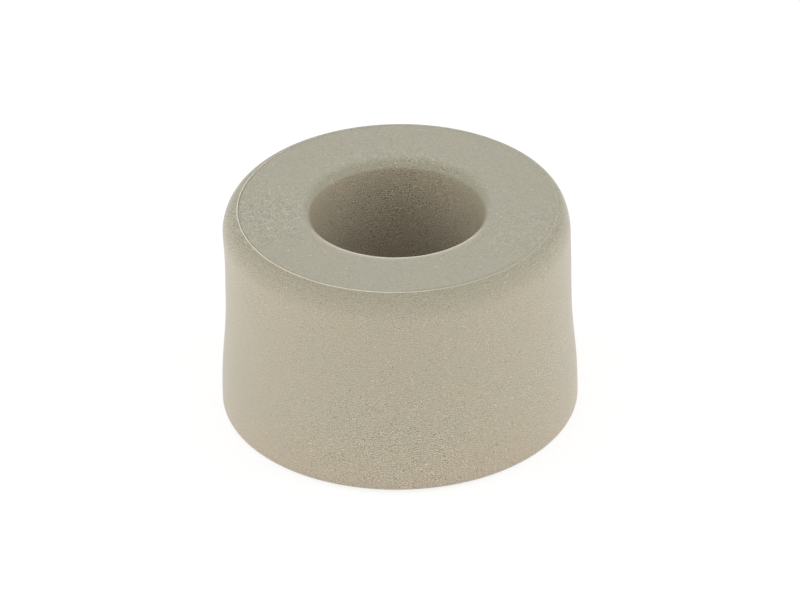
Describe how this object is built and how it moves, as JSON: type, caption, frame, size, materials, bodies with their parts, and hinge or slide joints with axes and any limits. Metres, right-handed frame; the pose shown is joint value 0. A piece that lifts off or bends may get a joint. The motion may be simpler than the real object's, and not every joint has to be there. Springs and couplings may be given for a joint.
{
  "type": "screw-on door stop",
  "caption": "Round moulded rubber door buffer with a flared base, rounded shoulder, wide blind bore for the screw head and washer, and a screw hole through its web.",
  "frame": {"origin": "centre of the flat base, which is fixed against the floor or wall", "axes": "+Z along the axis of the bore and screw hole, out of the bore's mouth; X and Y are any two radii, because the part is round"},
  "size_m": [0.04, 0.04, 0.0251],
  "materials": {
    "rubber": "matt warm grey, with a fine moulded grain on the side and in the bore and a smoother top face"
  },
  "bodies": {
    "root": {"rubber_buffer": "rubber"}
  },
  "joints": []
}
